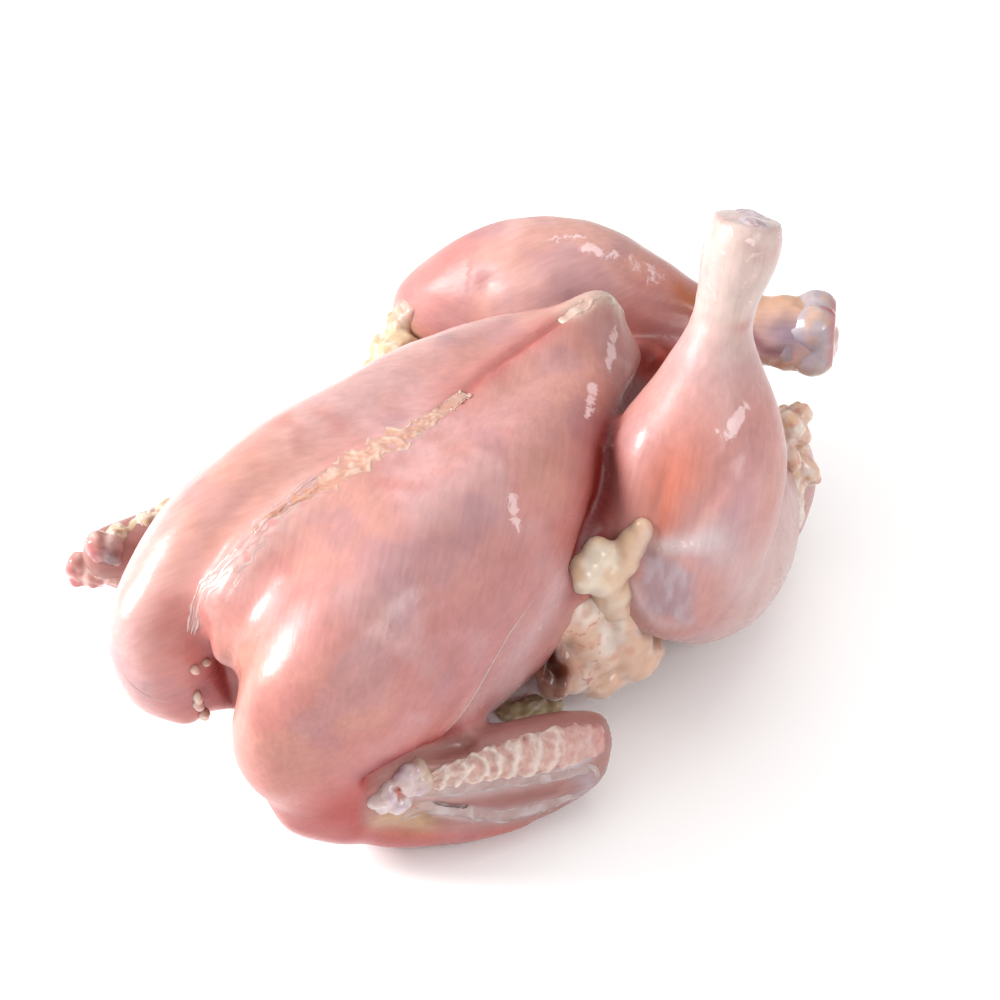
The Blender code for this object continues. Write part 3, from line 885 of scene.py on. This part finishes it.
def wing_ribs(along, side):
    """Gathered ribs of skin that bow towards the elbow, finer and flatter close to it."""
    drift = 0.7 * noise.noise(Vector((along * 5, side * 0.8, 3)))
    count = 12.5 * along + 7.0 * math.exp(-along * 6)
    ribs = abs(math.sin(math.pi * (count - 0.5 * side ** 2 + 0.2 * side + drift)))
    big = 0.4 + 0.6 * min(1.0, along * 4)
    uneven = 0.7 * noise.noise(Vector((along * 30, side * 3, 1)))
    uneven += 0.4 * noise.noise(Vector((along * 70, side * 8, 5)))
    return (0.85 * (1 - ribs) ** 1.1 + 0.8 * uneven) * big - 0.2


def skin_band(name, path, cut):
    """A band of plucked, ribbed skin along a forearm, raw and red where the wing is cut."""
    obj = strip(name, path, 1.1, across=26, spacing=0.4, height=wing_ribs, thick=1.4, frayed=0.12)
    tint, relief = Tint(obj, "#e2b5a8"), relief_of(obj)
    p = tint.points
    tint.wash("#f8e6dc", 0.85 * step(relief, -0.15, 0.45))
    tint.wash("#d6998a", 0.6 * step(-relief, 0.25, 0.5))
    tint.mottle("#eed4ca", 0.5, 3.0, 5, 0.0, 0.5)
    tint.spot("#e0a29c", 0.6, cut, 20)
    tint.spot("#cf4a50", 0.85 * step(lumpy(p, 1.6, 7), -0.35, 0.15), cut, 5, 5, 8)
    tint.finish(WING_SKIN)


def wing_skin():
    """The band of plucked skin left on the right forearm, and the films that edge its muscles."""
    skin_band("right_wing_skin", (
        (72.5, -21.5, 25.5, 5.6), (71, -28, 28, 7.2), (68, -36, 30.2, 7.8), (64.5, -44, 31.2, 7.8),
        (60.8, -51, 31.8, 7.0), (57.8, -57, 32, 6.2), (54.8, -63, 31.8, 5.2), (52.5, -67.5, 31, 4.4),
        (51, -71, 30.5, 3),
    ), (73, -20, 26))
    upper = ((47, -78, 26, 0.8), (51, -71, 27, 1.6), (56, -65, 26.5, 1.8), (62, -55, 25.5, 1.5),
             (68, -42, 22.5, 1.8), (72, -32, 21, 2.6), (73, -27, 18, 2.2), (73, -26, 12, 1.2))
    lower = ((46, -79, 17, 0.8), (50, -71, 20, 1.9), (57, -61, 16.5, 1.6), (62, -54, 12.5, 1.9),
             (67, -46, 11, 1.5), (71, -36, 10.5, 2.2), (73, -29, 10, 1.0))

    def film(along, side):
        return 0.5 * noise.noise(Vector((along * 11, side * 2.5, 8)))

    for name, line in (("right_wing_upper_film", upper), ("right_wing_lower_film", lower)):
        obj = strip(name, line, 0.45, across=14, spacing=0.6, height=film, thick=1.0, frayed=0.5)
        tint, relief = Tint(obj, "#c4a19c"), relief_of(obj)
        tint.wash("#e4d6d6", 0.7 * step(relief, -0.1, 0.3))
        tint.wash("#d9b5a0", 0.6 * step(-tint.points[:, 1], 64, 74))
        tint.finish(FASCIA)


def far_wing_band():
    """The same band of skin on the left forearm, which faces away."""
    path = ((-57, -22, 41, 3.5), (-62, -31, 43, 5.4), (-67, -41, 43, 6.0), (-71, -50, 42, 5.6),
            (-75, -58, 41, 4.0))
    skin_band("left_wing_band", path, (-56, -20, 41))


def vent_fat():
    """Soft fat round the vent and beside the tail."""
    rng = np.random.default_rng(8)
    balls = []
    for k in range(34):
        turn = math.tau * k / 34
        place, out = on_flesh((-3 + 15 * math.cos(turn), 118, 52 + 14 * math.sin(turn)))
        balls.append((*(place - out * 1.2), *rng.uniform(2.2, 4.2, 3)))
    for k in range(26):
        side = 1 if k % 2 else -1
        start = (side * rng.uniform(14, 30), 114 + rng.uniform(-6, 4), rng.uniform(12, 36))
        place, out = on_flesh(start)
        balls.append((*(place - out * 1.5), *rng.uniform(3, 5.5, 3)))
    obj = lumps("vent_fat", balls, voxel=0.7, smoothing=9, coarse=(0.8, 5), fine=(0.2, 2.4), seed=37)
    tint = Tint(obj, "#f3cbac")
    tint.mottle("#fde9d6", 0.85, 5, 3, -0.2, 0.3)
    tint.mottle("#e4a596", 0.6, 4, 8, 0.2, 0.5)
    tint.finish(FAT)


def left_knee_skin():
    """Yellowish skin and fat left at the left knee."""
    obj = lumps("left_knee_skin", (
        (-68, 51, 62, 5, 6, 5), (-70, 47, 56, 5.5, 6, 6), (-72, 43, 49, 5, 6, 6),
        (-71, 38, 44, 5, 6, 6), (-68, 34, 47, 5, 6, 5), (-64, 40, 52, 8, 8, 8),
    ), voxel=0.7, smoothing=8, coarse=(1.2, 5), fine=(0.3, 2.2), seed=29)
    tint = Tint(obj, "#e9c9a2")
    p = tint.points
    tint.mottle("#f7e8d0", 0.8, 4, 3, -0.1, 0.4)
    tint.mottle("#dba088", 0.6, 5, 23, 0.1, 0.5)
    tint.wash("#d9a49a", 0.8 * step(p[:, 2], 58, 66))
    tint.finish(WING_SKIN)


def hocks():
    """White cartilage on the cut hock joints."""
    hock, shin = np.array(RIGHT_HOCK, float), unit(RIGHT_SHIN)
    side = unit(np.cross(shin, (0.74, 0.67, 0)))
    front = np.cross(side, shin)
    balls = []
    for across, deep, up, *radii in ((0.5, 5.2, 0.2, 5.5, 4.6, 2.6), (0.5, -5.0, 0.4, 5.5, 4.6, 2.8),
                                     (1, 0, -1.2, 7, 8.5, 2.8), (3.5, 2, -1.5, 5, 5, 2.5)):
        balls.append((*(hock + front * across + side * deep + shin * up), *radii))
    knob = lumps("right_hock_cartilage", balls, voxel=0.45, smoothing=5,
                 coarse=(0.3, 5), fine=(0.08, 2), seed=3)
    tint = Tint(knob, "#d9c4cc")
    p = tint.points
    tint.mottle("#ebdcd8", 0.8, 5, 3, 0.0, 0.5)
    tint.mottle("#b5939f", 0.6, 3.6, 13, 0.1, 0.5)
    crack = 1 - np.abs(lumpy(p, 6, 8, 2)) / 0.06
    tint.wash("#b4493c", 0.7 * step(crack, 0.0, 1.0))
    tint.finish(CARTILAGE)

    hock, shin = np.array(LEFT_HOCK, float), unit(LEFT_SHIN)
    side = unit(np.cross(shin, UP))
    balls = []
    for across, up, away, radius in ((4, 4.5, -1, 7.5), (-4, 4.5, -1, 7.5), (-4, -4.5, -1, 7.5),
                                     (4, -4.5, -1, 7.5), (0, 0, 0, 9), (0, 0, -9, 11)):
        balls.append((*(hock + side * across + UP * up + shin * away), radius))
    knob = lumps("left_hock_cartilage", balls, voxel=0.6, smoothing=20,
                 coarse=(0.4, 7), fine=(0.2, 3), seed=6)
    points = points_of(knob)
    over = np.maximum((points - hock) @ shin - 5.0, 0)
    points -= (0.85 * over)[:, None] * shin
    move_points(knob, points)
    tint = Tint(knob, "#cbb9bd")
    p = tint.points
    tint.mottle("#e2b8a0", 0.8, 6, 3, -0.1, 0.4)
    tint.spot("#9f8fa2", 0.8, (31, 116, 63), 6, 6, 5)
    tint.spot("#ece8ec", 0.8, (28, 114, 68), 4, 4, 3)
    tint.wash("#d98d8c", 0.8 * step((p - hock) @ shin, 2, 5))
    tint.wash("#d3a06e", 0.8 * step(-p[:, 2], -57, -50))
    tint.along("#b80f1b", 0.95, ((33, 124, 72), (36, 126, 71)), 1.3)
    tint.spot("#c2304a", 0.9, (39, 128, 56), 1.5)
    tint.along("#e6a9ae", 0.8, ((38, 128, 70), (40, 130, 62)), 2.4)
    tint.finish(CARTILAGE)


def wrists():
    """The cut ends of both wings: knobs of cartilage, red bone and a bruise on the left one."""
    knob = lumps("right_wrist_cartilage", (
        (44.5, -82, 30, 2.9, 3.6, 3.0), (46, -79, 31, 3.6, 4, 4.2), (47.5, -75, 32.5, 4, 4, 5),
        (48, -74, 36, 2.6, 3, 2.6), (48.6, -71, 35, 3, 3.2, 3), (50, -71, 31.5, 3.4, 4, 4.2),
        (47, -77, 27, 3.6, 4.2, 3.4), (45, -81, 27.5, 3, 3, 2.6),
    ), voxel=0.4, smoothing=6, coarse=(0.5, 4), fine=(0.12, 1.6), seed=8)
    points, normals = points_of(knob), normals_of(knob)
    slit = ((48.6, -78.5, 33.4), (49.3, -78.2, 30.6))
    points -= normals * (1.4 * near(points, slit, 0.9))[:, None]
    move_points(knob, points)
    tint = Tint(knob, "#e4c8c4")
    p = tint.points
    tint.mottle("#f0e0e2", 0.8, 4, 3, -0.1, 0.4)
    tint.mottle("#cfb0c0", 0.6, 5, 13, 0.1, 0.5)
    tint.wash("#e0c09c", 0.6 * step(p[:, 1], -74, -70))
    tint.along("#cf5a34", 0.95, slit, 1.1)
    tint.finish(CARTILAGE)

    knob = lumps("left_wrist_cartilage", (
        (-85.5, -73, 27.5, 4, 4, 5), (-86, -73, 23.5, 3.6, 3.6, 3.4),
        (-82, -71, 25.5, 4.5, 4.5, 4.5),
        (-77.5, -71.5, 39, 4, 3.6, 5.5), (-79, -71, 35, 3.5, 3.5, 4), (-74, -69, 38, 3.5, 3.5, 5),
        (-79, -69, 31, 5, 5, 6), (-76, -67, 28, 5, 5, 6), (-83, -70, 29, 3, 3, 5),
    ), voxel=0.5, smoothing=4, coarse=(0.9, 4.5), fine=(0.2, 2), seed=9)
    tint = Tint(knob, "#deaaa0")
    p = tint.points
    tint.mottle("#ecc9bb", 0.8, 4, 3, -0.1, 0.4)
    tint.wash("#d27f7f", 0.7 * step(-p[:, 2], -29, -24))
    tint.spot("#5f4453", 0.85, (-72.5, -71, 38), 3.4, 4, 4.6)
    for centre in ((-77, -75, 39.5), (-86.5, -76, 27)):
        tint.spot("#c92a3a", 0.95, centre, 2.6, 2.6, 4.4)
        tint.spot("#eab3ae", 0.9, centre, 1.0, 1.6, 2.2)
    tint.finish(CARTILAGE)

    skin = lumps("left_wing_skin", (
        (-75, -60, 38, 4, 5, 4.5), (-73, -55, 40, 4, 5, 4.5), (-71, -50, 41, 4, 5, 4.5),
        (-69, -45, 42, 4, 5, 4), (-75, -62, 33, 4, 5, 5), (-73, -54, 34, 4, 6, 5),
        (-76, -65, 40, 3.5, 3.5, 3),
    ), voxel=0.6, smoothing=3, coarse=(1.1, 4), fine=(0.35, 1.8), seed=19)
    tint = Tint(skin, "#e0c09e")
    p = tint.points
    tint.mottle("#f0e0cc", 0.8, 2.6, 3, -0.1, 0.4)
    tint.mottle("#bf8b6a", 0.6, 3.2, 23, 0.1, 0.5)
    tint.wash("#d08e86", 0.6 * step(-p[:, 2], -36, -30))
    tint.finish(WING_SKIN)


def skin_scrap():
    """A scrap of yellow skin on the table by the wing."""
    obj = lumps("skin_scrap", (
        (30, -13, 1.2, 5, 4, 2.0), (34, -8, 1.4, 5, 5, 2.2), (38, -5, 1.2, 4, 4, 1.8),
        (40, -9, 1.0, 3, 3, 1.4),
    ), voxel=0.5, smoothing=4, coarse=(0.8, 3), seed=12)
    tint = Tint(obj, "#d9c49c")
    tint.wash("#f0e6d2", 0.8 * step(lumpy(tint.points, 3, 3), 0.0, 0.5))
    tint.finish(WING_SKIN)


keel_membrane()
keel_fat()
keel_tip()
fascia()
neck_beads()
fold_fat()
rump_fat()
wing_skin()
far_wing_band()
vent_fat()
left_knee_skin()
hocks()
wrists()
skin_scrap()


# ---------------------------------------------------------------- table, light and camera

CAMERA_TURN, CAMERA_RISE, CAMERA_AWAY = math.radians(42), math.radians(40), 0.6729
LENS, SENSOR = 85, 36  # millimetres
LOOKED_AT = Vector((5.74, 8.85, 53.26)) * MM
LAMPS_AIM = Vector((0, 0, 0.05))


def soft_box(name, place, size, power):
    light = bpy.data.lights.new(name, "AREA")
    light.shape = "RECTANGLE"
    light.size, light.size_y = size
    light.energy = power
    lamp = bpy.data.objects.new(name, light)
    bpy.context.scene.collection.objects.link(lamp)
    lamp.location = place
    lamp.rotation_euler = (LAMPS_AIM - lamp.location).to_track_quat("-Z", "Y").to_euler()


def table():
    bpy.ops.mesh.primitive_plane_add(size=8, location=(0, 0, 0))
    floor = bpy.context.object
    floor.name = "floor"
    material, tree, shader = new_material("white_laminate_table")
    shader.inputs["Base Color"].default_value = (1, 1, 1, 1)
    shader.inputs["Roughness"].default_value = 0.6
    floor.data.materials.append(material)


def camera():
    data = bpy.data.cameras.new("camera")
    data.lens = LENS
    data.sensor_width = SENSOR
    data.clip_start = 0.02
    cam = bpy.data.objects.new("camera", data)
    bpy.context.scene.collection.objects.link(cam)
    level = math.cos(CAMERA_RISE)
    back = Vector((level * math.sin(CAMERA_TURN), -level * math.cos(CAMERA_TURN),
                   math.sin(CAMERA_RISE)))
    cam.location = LOOKED_AT + back * CAMERA_AWAY
    cam.rotation_euler = (-back).to_track_quat("-Z", "Y").to_euler()
    bpy.context.scene.camera = cam


table()
camera()
soft_box("key_soft_box", (-0.82, -0.74, 0.62), (0.4, 0.4), 26)
soft_box("side_soft_box", (1.0, -0.1, 0.75), (0.35, 0.5), 5.0)
soft_box("top_soft_box", (-0.2, 0.3, 1.4), (1.2, 1.2), 4.5)
world = bpy.data.worlds.new("white_room")
bpy.context.scene.world = world
world.use_nodes = True
world.node_tree.nodes["Background"].inputs["Color"].default_value = (1, 1, 1, 1)
world.node_tree.nodes["Background"].inputs["Strength"].default_value = 0.72
bpy.context.scene.view_settings.view_transform = "Standard"
